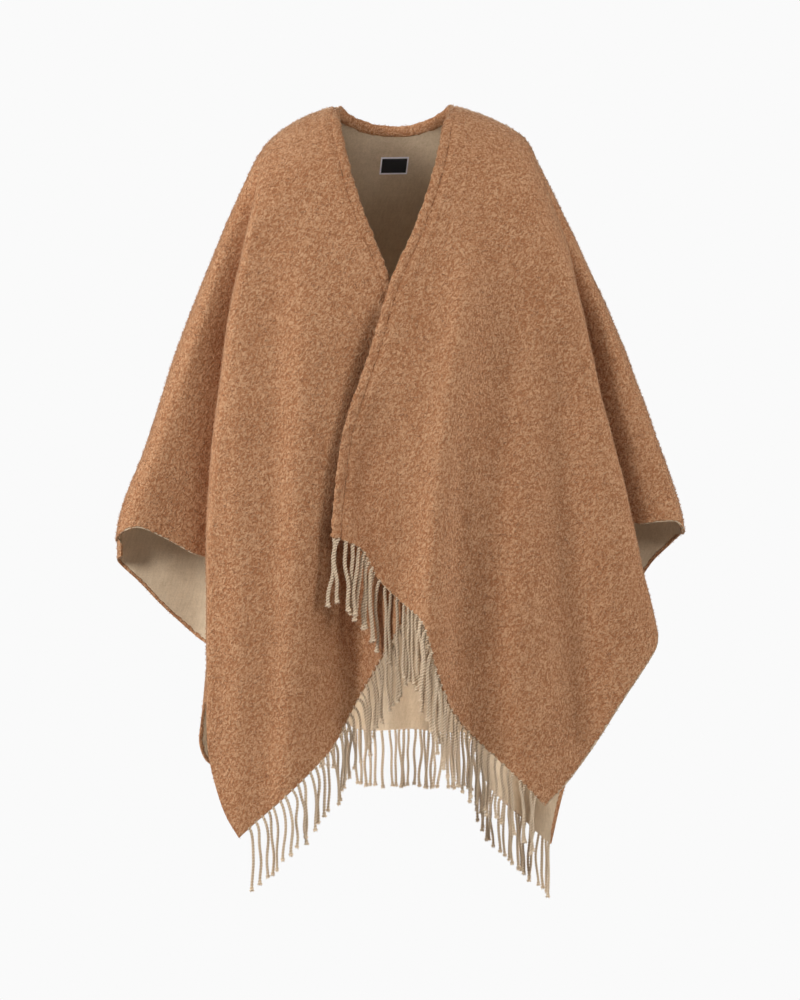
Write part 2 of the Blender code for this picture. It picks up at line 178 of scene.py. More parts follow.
def half_panel(face, side, shoulder, edge, fold, hem, side_edge, cuff, corner, creases,
               neck=None, neck_share=0.0, overlap=0.0, overlap_fade=1.0):
    """Grid of points (column, row, xyz) of one front or half of the back, from its edge or
    centre out and from the shoulder line down, and the share of the cloth's thickness at
    each. side is -1 for the wearer's right; corner and neck_share say how much of the
    panel's flat columns the hem and the neck take."""
    faces = FACES[face]
    corner, neck_share = corner * (1 - ROLL_SHARE), neck_share * (1 - ROLL_SHARE)
    length = lengths(shoulder)
    fold_share = np.interp(FOLD_START * MM, -shoulder[:, 1], length) / length[-1]
    fold = smooth(np.vstack([along(shoulder, fold_share), np.array(fold) * MM, side_edge[-1]]))

    def rounded(out, height, depth, reach, top):
        """Y of cloth that turns over the shoulder line and falls at that depth."""
        start = line_depth(out) + faces * CROWN
        return start + (faces * depth - start) * round_over(top - height, reach)

    def cloth_depth(out, height):
        depth = np.interp(-height, -depth_curve[:, 0], depth_curve[:, 1 if face == "front" else 2])
        depth = depth * (1 - SIDE_FALL[face] * (out / REACH) ** 2)
        signed = out if face == "front" else out * side
        depth += creases_at(creases, signed, height, CREASE_GROWTH[face])
        depth += overlap * ease(1 - out / overlap_fade)
        top = np.interp(out, shoulder[:, 0], shoulder[:, 1])
        return rounded(out, height, depth, SHOULDER_DROP, top)

    # The body of the panel, between its edge, the shoulder line, the sleeve fold and the hem.
    at_neck = np.clip(body_shares / max(neck_share, 1e-9), 0, 1)
    past_neck = np.clip((body_shares - neck_share) / (1 - neck_share), 0, 1)
    tops = along(shoulder, fold_share * past_neck)
    if neck is not None:
        tops = np.where((body_shares < neck_share)[:, None], along(neck, at_neck), tops)
    bottoms = np.where((body_shares <= corner)[:, None],
                       along(hem, np.clip(body_shares / corner, 0, 1)),
                       along(side_edge, np.clip((body_shares - corner) / (1 - corner), 0, 1)))
    s, d = body_shares[:, None, None], row_shares[None, :, None]
    body = ((1 - s) * along(edge, row_shares) + s * along(fold, row_shares)
            + (1 - d) * tops[:, None] + d * bottoms[:, None]
            - (1 - d) * ((1 - s) * edge[0] + s * fold[0])
            - d * ((1 - s) * edge[-1] + s * fold[-1]))
    out, height = body[..., 0], body[..., 1]
    size = LEAST_FOLD + (1 - LEAST_FOLD) * ease(row_shares / ROLL_GROWTH)
    roll = FOLD_RADIUS * size * (1 - np.cos(roll_turns))[:, None]
    body = np.stack([out, cloth_depth(out, height) - faces * roll, height], axis=-1)

    # Behind the roll: under it, along the valley and out over the arm to the wrist.
    end = body[-1]
    start = fold_share + VALLEY_START
    guides = [body[len(flat_steps) - 1], end,
              end - np.outer(size, (TURN_UNDER * FOLD_RADIUS, faces * FOLD_RADIUS, 0))]
    down = row_shares[:, None]
    valley = (1 - down) * along(shoulder, start) + down * cuff[0]
    out, height = valley.T
    top = np.interp(out, shoulder[:, 0], shoulder[:, 1])
    y = rounded(out, height, SLEEVE_DEPTH[face], ARM_DROP, top)
    inset = np.interp(-height, -fold[:, 1], fold[:, 0]) - VALLEY_INSET
    guides.append(np.stack([out + size * (inset - out),
                            y + size * (faces * VALLEY_DEPTH[face] - y), height], axis=-1))
    for share in SLEEVE_GUIDES:
        top = along(shoulder, start + (1 - start) * share)
        out, height = ((1 - down) * top + down * along(cuff, share)).T
        y = rounded(out, height, SLEEVE_DEPTH[face], ARM_DROP, top[1])
        guides.append(np.stack([out, y, height], axis=-1))
    rows = [smooth(row, BEHIND)[BEHIND + 1:] for row in np.stack(guides, axis=1)]
    grid = np.concatenate([body, np.stack(rows, axis=1)])
    walls = np.ones(grid.shape[:2])
    walls[len(flat_steps) - 2:len(body) + 2 * BEHIND] = np.clip(
        size * FOLD_RADIUS / (2 * CLOTH), LEAST_WALL, 1)

    # A level strip leads from the shoulder line to the first row. The back's neck edge has
    # no such strip, so there the first step down is divided instead.
    strip = np.repeat(grid[:, :1], 2, axis=1)
    strip[:, 0, 1] = line_depth(strip[:, 0, 0])
    strip[:, 1, 1] = (strip[:, 0, 1] + strip[:, 1, 1]) / 2
    if neck is not None:
        under = np.concatenate([body_shares < neck_share - 1e-6,
                                np.zeros(len(grid) - len(body_shares), bool)])
        first, second = grid[under, 0], grid[under, 1]
        strip[under, 0] = first
        strip[under, 1] = first * 2 / 3 + second / 3
        grid[under, 0] = first / 3 + second * 2 / 3
    grid = np.concatenate([strip, grid], axis=1)
    grid[..., 0] *= side
    return grid, np.pad(walls, ((0, 0), (2, 1)), "edge")


def far(vectors):
    """How long each of the vectors is."""
    return np.linalg.norm(vectors, axis=-1)


def unit(vectors):
    return vectors / np.maximum(far(vectors)[..., None], 1e-12)


RIM_ROWS = 24               # they reach past the pile that wraps an edge
RIM_ANGLE = math.radians(60)
RIM_ROUNDING = 1.0 * MM


def with_rim_row(grid, width):
    """The grid with one more row beside its last, that far away if there is room."""
    rim, before = grid[:, -1:], grid[:, -2:-1]
    gap = far(before - rim)[..., None]
    beside = rim + unit(before - rim) * np.minimum(width, gap * 0.8)
    return np.concatenate([grid[:, :-1], beside, rim], axis=1)


def hem_columns(corner):
    """How many columns run from the edge or centre to the outer corner."""
    return int((body_shares <= corner * (1 - ROLL_SHARE) + 1e-6).sum())


def turned_edge(grid, width, corner, on_hem, on_side, on_cuff):
    """Highest on the cut edge, the last row, half at that width from it, then 0, and as
    high as said for the hem up to the corner, the side edge and the cuff."""
    rim, = resampled(grid[:, -1], 1 * MM)
    distance = [far(grid[:, row, None] - rim).min(axis=-1) for row in range(-RIM_ROWS, 0)]
    shares = np.clip(1.5 - np.stack(distance, axis=1) / width, 0, 1)
    shares[:hem_columns(corner)] *= on_hem
    shares[hem_columns(corner):len(body_shares)] *= on_side
    shares[len(body_shares):] *= on_cuff
    return np.pad(shares, ((0, 0), (grid.shape[1] - RIM_ROWS, 0)))


def facing(grid, faces):
    """Unit normals of a grid, on the side that mostly looks along Y times faces."""
    normals = unit(np.cross(np.gradient(grid, axis=0), np.gradient(grid, axis=1)))
    return normals * (1 if normals[..., 1].sum() * faces > 0 else -1)


def lumps(points, size, height, seed):
    """Soft irregular swelling: a few crossed waves of about that size."""
    draw = np.random.default_rng(seed)
    total = np.zeros(points.shape[:-1])
    for _ in range(7):
        direction = unit(draw.normal(size=3)) * 2 * math.pi / size / draw.uniform(0.7, 1.5)
        total += np.sin(points @ direction + draw.uniform(0, 2 * math.pi))
    return total * height / 7 ** 0.5


SEAM_DIP = 0.8 * MM         # the cloth dips where the band is stitched on
SEAM_PUFF = 1.0 * MM        # and swells beside the stitches
SEAM_FADE = 50 * MM         # both fade out at the neck points
GROOVE = 3.2 * MM           # half width of the stitched groove, which is darkened with painted shade
DIP_SPREAD = 1.7            # the dip is wider by that
PUFF_PLACE = 11 * MM
PUFF_WIDTH = 7 * MM
SWELL_SIZE = 110 * MM       # all over, the cloth swells a little
SWELL = 0.8 * MM


def in_groove(distance, grid):
    """1 on the stitched edge, falling to 0 beside it and at the neck points."""
    return np.exp(-(distance / GROOVE) ** 2) * ease(-grid[..., 2] / SEAM_FADE)


def beside_seam(distance, grid):
    """Rise of the pile at that distance from the stitched edge."""
    puff = SEAM_PUFF * np.exp(-((distance - PUFF_PLACE) / PUFF_WIDTH) ** 2)
    return puff - SEAM_DIP * in_groove(distance / DIP_SPREAD, grid)


def read(items, key, width=1, kind=float):
    """A property of all the items, as an array."""
    values = np.zeros(len(items) * width, kind)
    items.foreach_get(key, values)
    return values.reshape(-1, width) if width > 1 else values


def mark(mesh, **values):
    """One number a vertex for each named attribute."""
    for key, numbers in values.items():
        mesh.attributes.new(key, "FLOAT", "POINT").data.foreach_set("value", numbers)


def shade(piece, degrees):
    """Smooth shading, except over edges that turn more than that."""
    piece.select_set(True)
    bpy.ops.object.shade_smooth_by_angle(angle=math.radians(degrees))
    bpy.ops.object.select_all(action="DESELECT")


def cloth_piece(name, grid, walls, grooves, turned, faces):
    """A sheet of cloth from a grid of points on its outer face: a plane bent to the grid,
    thickened inwards, with its rims rounded apart from the top row, where panels meet.
    turned is how far the pile wraps the cut edge: above 0 camel comes round to the inside,
    below 0 beige to the outside."""
    columns, rows = grid.shape[:2]
    bpy.ops.mesh.primitive_grid_add(x_subdivisions=columns - 1, y_subdivisions=rows - 1, size=2)
    piece = bpy.context.object
    piece.name = piece.data.name = name
    mesh = piece.data
    flat = read(mesh.vertices, "co", 3)
    i = np.rint((flat[:, 0] + 1) / 2 * (columns - 1)).astype(int)
    j = np.rint((1 - flat[:, 1]) / 2 * (rows - 1)).astype(int)
    mesh.vertices.foreach_set("co", grid[i, j].ravel())
    mark(mesh, top_row=(j == 0) * 1.0, turned=turned[i, j], groove=grooves[i, j])
    mesh.update()
    if sum(face.normal.y * face.area for face in mesh.polygons) * faces < 0:
        mesh.flip_normals()
    for material in (camel, beige):
        mesh.materials.append(material)

    thickness = piece.vertex_groups.new(name="thickness")
    shares = np.round(walls[i, j], 2)
    for share in np.unique(shares):
        thickness.add(np.flatnonzero(shares == share).tolist(), float(share), "REPLACE")
    wall = piece.modifiers.new("wall", "SOLIDIFY")
    wall.vertex_group = thickness.name
    wall.thickness = CLOTH
    wall.offset = -1
    wall.material_offset = 1
    wall.material_offset_rim = 0
    bpy.ops.object.modifier_apply(modifier=wall.name)
    piece.vertex_groups.clear()

    shape = bmesh.new()
    shape.from_mesh(mesh)
    top_row = shape.verts.layers.float["top_row"]
    rims = [edge for edge in shape.edges
            if edge.calc_face_angle(0) > RIM_ANGLE
            and not all(vert[top_row] > 0.5 for vert in edge.verts)]
    bmesh.ops.bevel(shape, geom=rims, offset=RIM_ROUNDING, segments=2, profile=0.5,
                    affect="EDGES", clamp_overlap=True, material=-1)
    shape.to_mesh(mesh)
    shape.free()
    mesh.attributes.remove(mesh.attributes["top_row"])
    shade(piece, 50)
    return piece


class Value:
    """A number that varies over a surface. Arithmetic on it adds Math nodes."""

    def __init__(self, finish, socket):
        self.finish = finish
        self.socket = socket

    def maths(self, operation, *operands):
        inputs = {n: getattr(item, "socket", item) for n, item in enumerate(operands)}
        return self.finish.add("ShaderNodeMath", {"operation": operation}, inputs)

    def __add__(self, other):
        return self.maths("ADD", self, other)

    def __sub__(self, other):
        return self.maths("SUBTRACT", self, other)

    def __rsub__(self, other):
        return self.maths("SUBTRACT", other, self)

    def __mul__(self, other):
        return self.maths("MULTIPLY", self, other)

    def __abs__(self):
        return self.maths("ABSOLUTE", self)

    def __gt__(self, other):
        return self.maths("GREATER_THAN", self, other)

    __radd__ = __add__
    __rmul__ = __mul__


class Finish:
    """A material being made, with its constants on the shader's own sockets."""

    def __init__(self, name, **constants):
        self.material = bpy.data.materials.new(name)
        self.material.use_nodes = True
        self.tree = self.material.node_tree
        self.shader = self.tree.nodes["Principled BSDF"]
        for key, value in constants.items():
            self.shader.inputs[key.replace("_", " ")].default_value = value

    def add(self, kind, settings=None, inputs=None, output=0):
        """One node. Its settings come first, then the values or links of its sockets."""
        node = self.tree.nodes.new(kind)
        for key, value in (settings or {}).items():
            if key == "stops":
                ramp = node.color_ramp.elements
                while len(ramp) < len(value):
                    ramp.new(0.5)
                for stop, (place, colour) in zip(ramp, value):
                    stop.position = place
                    stop.color = (*colour, 1)
            else:
                setattr(node, key, value)
        for key, value in (inputs or {}).items():
            value = getattr(value, "socket", value)
            if isinstance(value, bpy.types.NodeSocket):
                self.tree.links.new(value, node.inputs[key])
            else:
                node.inputs[key].default_value = value
        return Value(self, node.outputs[output])

    def place(self, scale=(1, 1, 1), turn=(0, 0, 0)):
        """Object coordinates, turned and then scaled."""
        where = self.add("ShaderNodeTexCoord", output="Object")
        for change in ({"Rotation": turn}, {"Scale": scale}):
            where = self.add("ShaderNodeMapping", inputs={"Vector": where, **change})
        return where

    def noise(self, where, scale, detail=2.0, roughness=0.5, output=0):
        return self.add("ShaderNodeTexNoise", inputs={
            "Vector": where, "Scale": scale, "Detail": detail, "Roughness": roughness},
            output=output)

    def mix(self, factor, first, second):
        """A colour between two colours."""
        return self.add("ShaderNodeMix", {"data_type": "RGBA"},
                        {0: factor, 6: first, 7: second}, output=2)

    def ramp(self, value, *stops):
        """A colour that goes with the value from stop to stop."""
        return self.add("ShaderNodeValToRGB", {"stops": stops}, {"Fac": value})

    def step(self, value, low, high):
        """0 up to low, 1 from high on and a smooth step between them."""
        return self.add("ShaderNodeMapRange", {"interpolation_type": "SMOOTHSTEP"}, {
            "Value": value, "From Min": low, "From Max": high})

    def attribute(self, name):
        return self.add("ShaderNodeAttribute", {"attribute_name": name}, output="Fac")

    def colour(self, value):
        self.tree.links.new(value.socket, self.shader.inputs["Base Color"])

    def bump(self, height, distance):
        made = self.add("ShaderNodeBump", inputs={
            "Height": height, "Distance": distance, "Strength": 1.0})
        self.tree.links.new(made.socket, self.shader.inputs["Normal"])


CAMEL_LIGHT = (0.64, 0.365, 0.205)
CAMEL = (0.51, 0.255, 0.127)
CAMEL_DEEP = (0.385, 0.163, 0.073)
PILE_LEAN = math.radians(-33)
SWIRL = 4.5 * MM            # how far the swirls draw the tufts about


def curly_face(finish):
    """Brushed curly camel wool: pale tufts about 3 mm across, with a finer grain, lie
    aslant over a redder ground, with painted shade along the stitched groove."""
    place = finish.place(scale=(1, 1, 0.66), turn=(0, PILE_LEAN, 0))
    swirl = finish.noise(place, 300, detail=1, output="Color")
    warped = finish.add("ShaderNodeVectorMath", {"operation": "MULTIPLY_ADD"},
                        {0: swirl, 1: (SWIRL, SWIRL, SWIRL), 2: place})
    tufts = finish.noise(warped, 310, detail=1.5, roughness=0.55)
    grain = finish.noise(warped, 560, detail=1)
    clouds = finish.noise(place, 26, detail=3, roughness=0.6)
    # painted shade: the tone is darker along the stitched groove, where the band and the pile shade
    # it
    tone = tufts * 1.45 + grain * 1.35 + clouds * 0.26 - 0.955 - finish.attribute("groove") * 0.1
    colour = finish.ramp(tone, (0.36, CAMEL_DEEP), (0.60, CAMEL), (0.86, CAMEL_LIGHT))
    return colour, tufts * 0.9 + grain * 0.6 + clouds * 0.5


def smooth_face(finish):
    """The beige face: felted smooth, with faint streaks, fine weft lines and a nap."""
    streaks = finish.noise(finish.place(scale=(1, 1, 0.22), turn=(0, math.radians(-18), 0)),
                           300, detail=2)
    nap = finish.noise(finish.place(), 520, detail=3, roughness=0.65)
    wefts = finish.noise(finish.place(scale=(0.12, 0.12, 1)), 420, detail=1)
    clouds = finish.noise(finish.place(), 30, detail=3)
    tone = streaks * 0.34 + nap * 0.5 + wefts * 0.14 + clouds * 0.3 - 0.12
    colour = finish.ramp(tone, (0.34, (0.575, 0.43, 0.285)), (0.72, (0.775, 0.61, 0.43)))
    return colour, streaks * 0.12 + wefts * 0.04 + nap * 0.2


def double_wool(name, face, other, wraps, **constants):
    """One face of the double cloth. Beside the cut edge the other face's pile comes round
    in lumps, where the piece's turned edge has that sign."""
    finish = Finish(name, Roughness=0.93, Specular_IOR_Level=0.1, **constants)
    colour, height = face(finish)
    other_colour, other_height = other(finish)
    lump = finish.noise(finish.place(), 170, detail=2)
    share = finish.step(finish.attribute("turned") * wraps + (lump - 0.5), 0.38, 0.62)
    finish.colour(finish.mix(share, colour, other_colour))
    finish.bump(height + (other_height - height) * share, 1.7 * MM)
    return finish.material


camel = double_wool("camel_curly_wool", curly_face, smooth_face, -1, Sheen_Weight=0.9,
                    Sheen_Roughness=0.27, Sheen_Tint=(1.0, 0.81, 0.60, 1))
beige = double_wool("beige_smooth_wool", smooth_face, curly_face, 1, Sheen_Weight=0.2,
                    Sheen_Roughness=0.5, Sheen_Tint=(1.0, 0.92, 0.80, 1))

RIGHT_SHOULDER = drawn([(88, -2), (127, -15), (173, -45), (202, -80), (228, -130), (255, -200),
                        (295, -300), (335, -420), (375, -540), (397, -592), (403, -612),
                        (402, -627)])
RIGHT_EDGE = [(88, -2), (90, -30), (80, -80), (68, -130), (43, -200), (19, -260), (-9, -360),
              (-38, -480), (-59, -580), (-66, -655)]
RIGHT_FOLD = [(197, -130), (211, -200), (233, -300), (249, -420), (262, -540), (267, -640)]
RIGHT_HEM = [(-66, -655), (-22, -725), (16, -789), (50, -852), (85, -918), (112, -948),
             (145, -980), (193, -1023), (217, -1045)]
RIGHT_SIDE = [(217, -1045), (236, -1014), (250, -978), (262, -925), (266, -845)]
RIGHT_CUFF = [(262, -676), (289, -648), (311, -637), (330, -625), (354, -613), (373, -611),
              (387, -615), (396, -623), (401, -631)]
RIGHT_CREASES = [
    (116, -140, 148, -900, 32, 10), (172, -150, 180, -760, 24, -7), (218, -260, 222, -820, 22, 4),
    (-4, -250, 60, -640, 40, -26), (46, -540, 40, -900, 32, -39), (92, -640, 100, -980, 30, -6),
    (202, -560, 190, -1020, 30, 5)]
RIGHT_CORNER = 9 / 11       # the hem's share of the panel's flat columns
EDGE_PILE = 2.2 * MM        # the beige face shows that far round the fronts' cut edges
WRIST_ROUND = 45 * MM       # and less and less where they come round the wrist


def front_piece(name, side, shoulder, edge, fold, hem, side_edge, cuff, corner, creases,
                beige_shows, seed, **overlap):
    """A front: the piece, its grid and the normals. beige_shows says how much of it shows
    on the hem, the side edge and the cuff."""
    grid, walls = half_panel("front", side, shoulder, drawn(edge), fold, drawn(hem),
                             drawn(side_edge), drawn(cuff), corner, creases, **overlap)
    grid = with_rim_row(grid, EDGE_PILE)
    normals = facing(grid, -1)
    from_edge, from_wrist = far(grid - grid[:1]), far(grid - grid[-1, -1])
    grid += normals * (beside_seam(from_edge, grid)
                       + lumps(grid, SWELL_SIZE, SWELL, seed))[..., None]
    turned = -turned_edge(grid, EDGE_PILE, corner, *beige_shows)
    turned *= ease(from_wrist / WRIST_ROUND)
    return cloth_piece(name, grid, walls, in_groove(from_edge, grid), turned, -1), grid, normals


right_front, right_grid, right_normals = front_piece(
    "right_front", -1, RIGHT_SHOULDER, RIGHT_EDGE, RIGHT_FOLD, RIGHT_HEM, RIGHT_SIDE,
    RIGHT_CUFF, RIGHT_CORNER, RIGHT_CREASES, beige_shows=(0.45, 0.2, 0.62), seed=3)
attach(right_front, "root")
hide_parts("front_right")


# -------- left front
# The wearer's left front crosses over the right one. It is the same double cloth; a soft
# ridge falls from the shoulder and its hem waves where the cloth turns under its weight.

LEFT_SHOULDER = drawn([(89, -2), (132, -15), (186, -45), (209, -80), (233, -130), (265, -200),
                       (312, -300), (357, -420), (400, -540), (416, -588), (421, -606),
                       (419, -619)])
LEFT_EDGE = [(89, -2), (84, -30), (76, -80), (63, -130), (38, -200), (11, -260), (-19, -360),
             (-57, -480), (-70, -580), (-73, -627)]
LEFT_FOLD = [(223, -130), (246, -200), (269, -300), (295, -420), (327, -540), (349, -640)]
LEFT_HEM = [(-73, -627), (-44, -642), (-24, -680), (10, -714), (38, -740), (60, -810),
            (86, -872), (124, -915), (165, -953), (213, -1001)]
LEFT_SIDE = [(213, -1001), (243, -973), (277, -931), (326, -854), (347, -824), (366, -796),
             (375, -780), (378, -762)]
LEFT_CUFF = [(336, -612), (362, -605), (390, -602), (405, -603), (414, -610), (418, -621)]
LEFT_CREASES = [
    (120, -130, 54, -640, 30, 26), (186, -190, 128, -720, 38, -14), (228, -240, 268, -820, 42, -28),
    (62, -520, 82, -1000, 28, 14), (-28, -400, -24, -720, 30, -24), (124, -640, 150, -960, 26, -6),
    (98, -300, 84, -900, 14, -6)]
LEFT_CORNER = 8 / 11
OVERLAP = 10 * MM           # it hangs that much further forward on the centre line
OVERLAP_FADE = 150 * MM     # and no further from there out

left_front, left_grid, left_normals = front_piece(
    "left_front", 1, LEFT_SHOULDER, LEFT_EDGE, LEFT_FOLD, LEFT_HEM, LEFT_SIDE, LEFT_CUFF,
    LEFT_CORNER, LEFT_CREASES, beige_shows=(0.45, 0.65, 0.7), seed=4,
    overlap=OVERLAP, overlap_fade=OVERLAP_FADE)
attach(left_front, "root")
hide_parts("front_left")


# -------- back
# The back is one width of the same cloth from cuff to cuff. It hangs from the neck and the
# shoulders in upright flutes that open towards the hem.

BACK_NECK_DROP = -37 * MM
NECK_SHAPE = 1.4
neck_turns = np.linspace(0, math.pi / 2, 25)


def back_neck(shoulder):
    """Half the back neck, from its middle to the neck point."""
    out, height = shoulder[0]
    return np.stack([out * np.sin(neck_turns),
                     height + (BACK_NECK_DROP - height) * np.cos(neck_turns) ** NECK_SHAPE],
                    axis=-1)


BACK_HALVES = [             # side, shoulder line, sleeve fold, hem, side edge, cuff
    (-1, RIGHT_SHOULDER,
     [(192, -130), (205, -200), (224, -300), (240, -420), (252, -540), (260, -640)],
     [(0, -913), (38, -914), (62, -911), (80, -893), (100, -884), (130, -890), (165, -914),
      (196, -942), (220, -964)],
     [(220, -964), (250, -968), (274, -962), (285, -935), (284, -905), (278, -870)],
     [(248, -812), (285, -773), (322, -735), (352, -698), (385, -664), (403, -653)]),
    (1, LEFT_SHOULDER,
     [(214, -130), (234, -200), (256, -300), (280, -420), (298, -540), (306, -640)],
     [(0, -913), (55, -915), (100, -918), (116, -927), (126, -952), (136, -984), (157, -1013),
      (195, -1050), (233, -1080)],
     [(233, -1080), (241, -1040), (250, -1000), (270, -924), (294, -862), (304, -815)],
     [(272, -790), (330, -733), (366, -676), (387, -652), (408, -632), (418, -622)])]
BACK_CREASES = [
    (-228, -230, -250, -900, 24, 27), (-186, -340, -210, -960, 25, -27),
    (-140, -110, -168, -1000, 32, 33), (-100, -260, -120, -960, 26, -29),
    (-52, -370, -66, -960, 32, 24), (-12, -400, -18, -940, 28, -16),
    (34, -150, 30, -940, 30, 24), (66, -250, 74, -960, 23, -30),
    (102, -340, 112, -1000, 26, 35), (136, -420, 156, -1040, 25, -29),
    (172, -130, 202, -1060, 30, 33), (214, -280, 244, -980, 25, -27)]
BACK_CORNER = 8 / 11
NECK_SHARE = 4 / 11
NECK_SEAM = 0.35            # how much of a front's dip and swelling the neck has
EDGE_PILE_BACK = 4.6 * MM   # the camel pile wraps that far over the back's cut edge
WRIST_CURL = 26 * MM        # at the wrist that much of the back curls forward
WRIST_FADE = 14 * MM        # from that far below the shoulder line
WRIST_LET_OUT = 3 * MM      # which lets the rest out by that much more


back_halves = []
for side, shoulder, fold, hem, side_edge, cuff in BACK_HALVES:
    neck, hem = back_neck(shoulder), drawn(hem)
    half, half_walls = half_panel(
        "back", side, shoulder, np.array([neck[0], hem[0]]), fold, hem, drawn(side_edge),
        drawn(cuff), BACK_CORNER, BACK_CREASES, neck=neck, neck_share=NECK_SHARE)
    back_halves.append(half)
back_grid = with_rim_row(np.concatenate([back_halves[0][:0:-1], back_halves[1]]),
                         EDGE_PILE_BACK)
back_walls = np.concatenate([half_walls[:0:-1], half_walls])
for end in (0, -1):
    outwards = np.sign(back_grid[end, 0, 0])
    from_end = np.abs(back_grid[..., 0] - back_grid[end, :, 0])
    curled = ease((back_grid[end, 0, 2] - back_grid[end, :, 2]) / WRIST_FADE)
    share = np.clip(1 - from_end / WRIST_CURL, 0, 1)
    radius = WRIST_CURL / math.pi
    drawn_in = radius * np.sin(math.pi * share) - WRIST_CURL * share
    let_out = (WRIST_CURL - radius + WRIST_LET_OUT) * ease(1 - from_end / (6 * WRIST_CURL))
    back_grid[..., 0] += outwards * curled * (drawn_in + let_out)
    back_grid[..., 1] -= curled * radius * (1 - np.cos(math.pi * share))
back_middle = len(back_halves[0]) - 1
back_hem = slice(back_middle - hem_columns(BACK_CORNER) + 1,
                 back_middle + hem_columns(BACK_CORNER))
neck_columns = int((body_shares < NECK_SHARE * (1 - ROLL_SHARE) - 1e-6).sum())
neck_slice = slice(back_middle - neck_columns + 1, back_middle + neck_columns)
back_normals = facing(back_grid, 1)
from_neck = far(back_grid - back_grid[:, :1])
from_neck[:neck_slice.start] = from_neck[neck_slice.stop:] = 1
back_grid += back_normals * (NECK_SEAM * beside_seam(from_neck, back_grid)
                             + lumps(back_grid, SWELL_SIZE, SWELL, 5))[..., None]
back_turned = turned_edge(back_grid, EDGE_PILE_BACK, 0, 1, 1, 1)
back_turned[back_hem] = 0
back = cloth_piece("back_panel", back_grid, back_walls, in_groove(from_neck, back_grid),
                   back_turned, 1)
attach(back, "root")
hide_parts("back")


# -------- neck band
# The raw edge of the slit is turned over and stitched down, so a soft roll of the same wool
# runs up the right front, round the neck and down the left front.

BAND_WIDTH = 15 * MM
BAND_THICK = 6.4 * MM
BAND_PRESS = 0.5 * MM       # how far the stitches press it into the cloth's edge
BAND_STEP = 3.5 * MM
BAND_SIDES = 16
BAND_ROUNDING = 9 * MM      # how far its path is softened
BAND_LIFT = 60 * MM         # it starts to rise that far below the neck points
BAND_SINK = 3.5 * MM        # lies that much lower on them
BAND_SPREAD = 6.0 * MM      # and leans out that far there
BAND_ENDS = 0.62, 0.9       # the size of the last two rings at either end
BAND_UP = 0.75              # it turns up behind the neck
BAND_DOWN = 0.36            # and down on the neck points
BAND_WIDER = 0.14           # it is wider behind the neck
BAND_THICKER = 0.45         # and thicker all round the neck
BAND_LUMPS = (15 * MM, 0.7 * MM, 6), (9 * MM, 0.45 * MM, 8)
GROOVE_FROM = 0.7           # how far round the groove, with its painted shade, starts on the cloth's side


def softened(values, spread):
    """A Gaussian mean along rows of values."""
    half = int(3 * spread) + 1
    weights = np.exp(-0.5 * (np.arange(-half, half + 1) / spread) ** 2)
    padded = np.vstack([values[:1]] * half + [values] + [values[-1:]] * half)
    return np.stack([np.convolve(axis, weights / weights.sum(), "valid") for axis in padded.T],
                    axis=-1)


def across(vectors, tangents):
    """What is left of the vectors square to the tangents, at unit length."""
    return unit(vectors - (vectors * tangents).sum(axis=-1, keepdims=True) * tangents)


def tube_faces(rings, sides, first=0):
    """Faces of a closed tube whose vertices are numbered ring by ring from first."""
    ring, spoke = np.meshgrid(np.arange(rings - 1), np.arange(sides), indexing="ij")
    a, b = first + ring * sides + spoke, first + ring * sides + (spoke + 1) % sides
    last = first + (rings - 1) * sides
    return np.stack([a, b, b + sides, a + sides], axis=-1).reshape(-1, 4).tolist() + [
        list(range(first, first + sides))[::-1], list(range(last, last + sides))]


def made_mesh(name, vertices, faces, material, **values):
    """A smooth object with its faces turned outwards and the values as attributes."""
    mesh = bpy.data.meshes.new(name)
    mesh.from_pydata(vertices, [], faces)
    mesh.materials.append(material)
    mark(mesh, **values)
    piece = bpy.data.objects.new(name, mesh)
    bpy.context.scene.collection.objects.link(piece)
    bpy.context.view_layer.objects.active = piece
    piece.select_set(True)
    bpy.ops.object.mode_set(mode="EDIT")
    bpy.ops.mesh.select_all(action="SELECT")
    bpy.ops.mesh.normals_make_consistent(inside=False)
    bpy.ops.object.mode_set(mode="OBJECT")
    shade(piece, 60)
    return piece


band_rim = np.vstack([right_grid[0, ::-1], back_grid[neck_slice, 0], left_grid[0]])
band_inside = np.vstack([right_grid[4, ::-1], back_grid[neck_slice, 6], left_grid[4]])
band_face = np.vstack([right_normals[3, ::-1], back_normals[neck_slice, 8], left_normals[3]])
rim, inside, face_axis = resampled(band_rim, BAND_STEP, band_inside, band_face)
rim = softened(rim, 0.5 * BAND_ROUNDING / BAND_STEP)
tangents = unit(np.gradient(rim, axis=0))
raised = ease((rim[:, 2:] + BAND_LIFT) / BAND_LIFT)
behind = ease(rim[:, 1:2] / (30 * MM))
side_axis = unit(softened(rim - inside, BAND_ROUNDING / BAND_STEP))
side_axis = across(side_axis + (0, 0, 1.0) * (
    BAND_UP * behind - BAND_DOWN * raised * (1 - behind)), tangents)
face_axis = np.cross(side_axis, tangents)
spokes = np.linspace(0, 2 * math.pi, BAND_SIDES, endpoint=False)
band_outline = np.stack([np.cos(spokes) * BAND_WIDTH / 2 * (1 + BAND_WIDER * behind),
                         np.sin(spokes) * BAND_THICK / 2 * (1 + BAND_THICKER * raised)],
                        axis=-1)
for ring, smaller in enumerate(BAND_ENDS):
    band_outline[[ring, -1 - ring]] *= smaller
band_centres = rim + side_axis * (BAND_WIDTH / 2 - BAND_PRESS) - face_axis * CLOTH / 2
band_centres[:, 2:] -= BAND_SINK * raised ** 3
band_centres[:, :1] += BAND_SPREAD * raised ** 3 * (1 - behind) * np.sign(band_centres[:, :1])
vertices = (band_centres[:, None] + side_axis[:, None] * band_outline[..., :1]
            + face_axis[:, None] * band_outline[..., 1:]).reshape(-1, 3)
vertices += sum(lumps(vertices, *lump) for lump in BAND_LUMPS)[:, None] * unit(
    vertices - np.repeat(band_centres, BAND_SIDES, axis=0))
